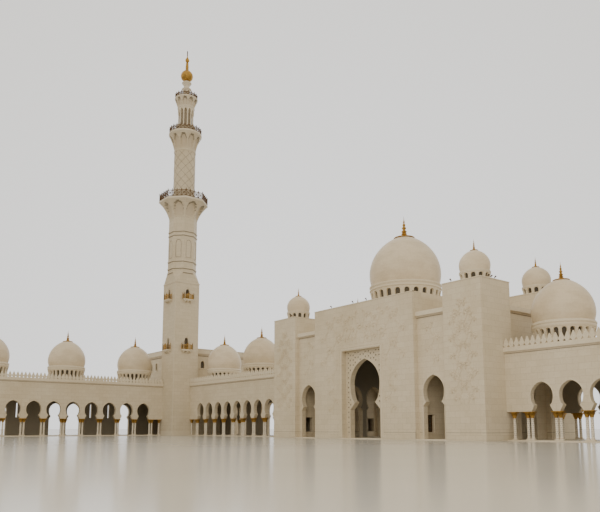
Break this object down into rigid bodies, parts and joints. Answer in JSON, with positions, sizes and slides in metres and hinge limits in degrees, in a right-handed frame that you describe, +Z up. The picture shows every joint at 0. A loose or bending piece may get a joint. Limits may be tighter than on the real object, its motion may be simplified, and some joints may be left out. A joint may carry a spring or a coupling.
{
  "type": "mosque building, scale model at 1:10",
  "caption": "White marble mosque court side: domed portal with keyhole arches and corner towers, arcade wings on paired columns, corner block and tall minaret.",
  "frame": {"origin": "on the ground under the middle of the domed portal", "axes": "+X to the right along the portal's front, +Y into the building, +Z up; the front faces -Y"},
  "size_m": [15.13, 7.64, 10.57],
  "materials": {
    "marble": "honed white marble",
    "gold": "polished gold",
    "glass": "dark glazing in a frame"
  },
  "bodies": {
    "root": {"portal_floor": "marble", "hall_front_wall": "marble", "hall_rear_wall": "marble", "hall_left_wall": "marble", "left_aisle_wall": "marble", "left_aisle_roof": "marble", "front_left_tower": "marble", "front_left_tower_dome": "marble", "front_left_bay_wall": "marble", "front_left_hall_window": "glass", "rear_left_tower": "marble", "rear_left_tower_dome": "marble", "rear_left_bay_wall": "marble", "rear_left_hall_window": "glass", "hall_right_wall": "marble", "right_aisle_wall": "marble", "right_aisle_roof": "marble", "front_right_tower": "marble", "front_right_tower_dome": "marble", "front_right_bay_wall": "marble", "front_right_hall_window": "glass", "rear_right_tower": "marble", "rear_right_tower_dome": "marble", "rear_right_bay_wall": "marble", "rear_right_hall_window": "glass", "hall_roof": "marble", "great_dome": "marble", "great_finial": "gold", "left_wing_front_arcade": "marble", "left_wing_rear_arcade": "marble", "left_wing_floor_and_columns": "marble", "left_wing_roof": "marble", "left_wing_dome_1": "marble", "left_wing_dome_2": "marble", "left_wing_dome_3": "marble", "right_wing_front_arcade": "marble", "right_wing_rear_arcade": "marble", "right_wing_end_arcade": "marble", "right_wing_floor_and_columns": "marble", "right_wing_roof": "marble", "right_wing_dome_1": "marble", "right_wing_dome_2": "marble", "side_wing_front_arcade": "marble", "side_wing_rear_arcade": "marble", "side_wing_end_arcade": "marble", "side_wing_floor_and_columns": "marble", "side_wing_roof": "marble", "side_wing_dome_1": "marble", "side_wing_dome_2": "marble", "side_wing_dome_3": "marble", "corner_walls": "marble", "corner_roof": "marble", "minaret_shaft": "marble", "minaret_octagon": "marble", "minaret_drum": "marble", "minaret_lantern": "marble", "minaret_finial": "gold"}
  },
  "joints": []
}
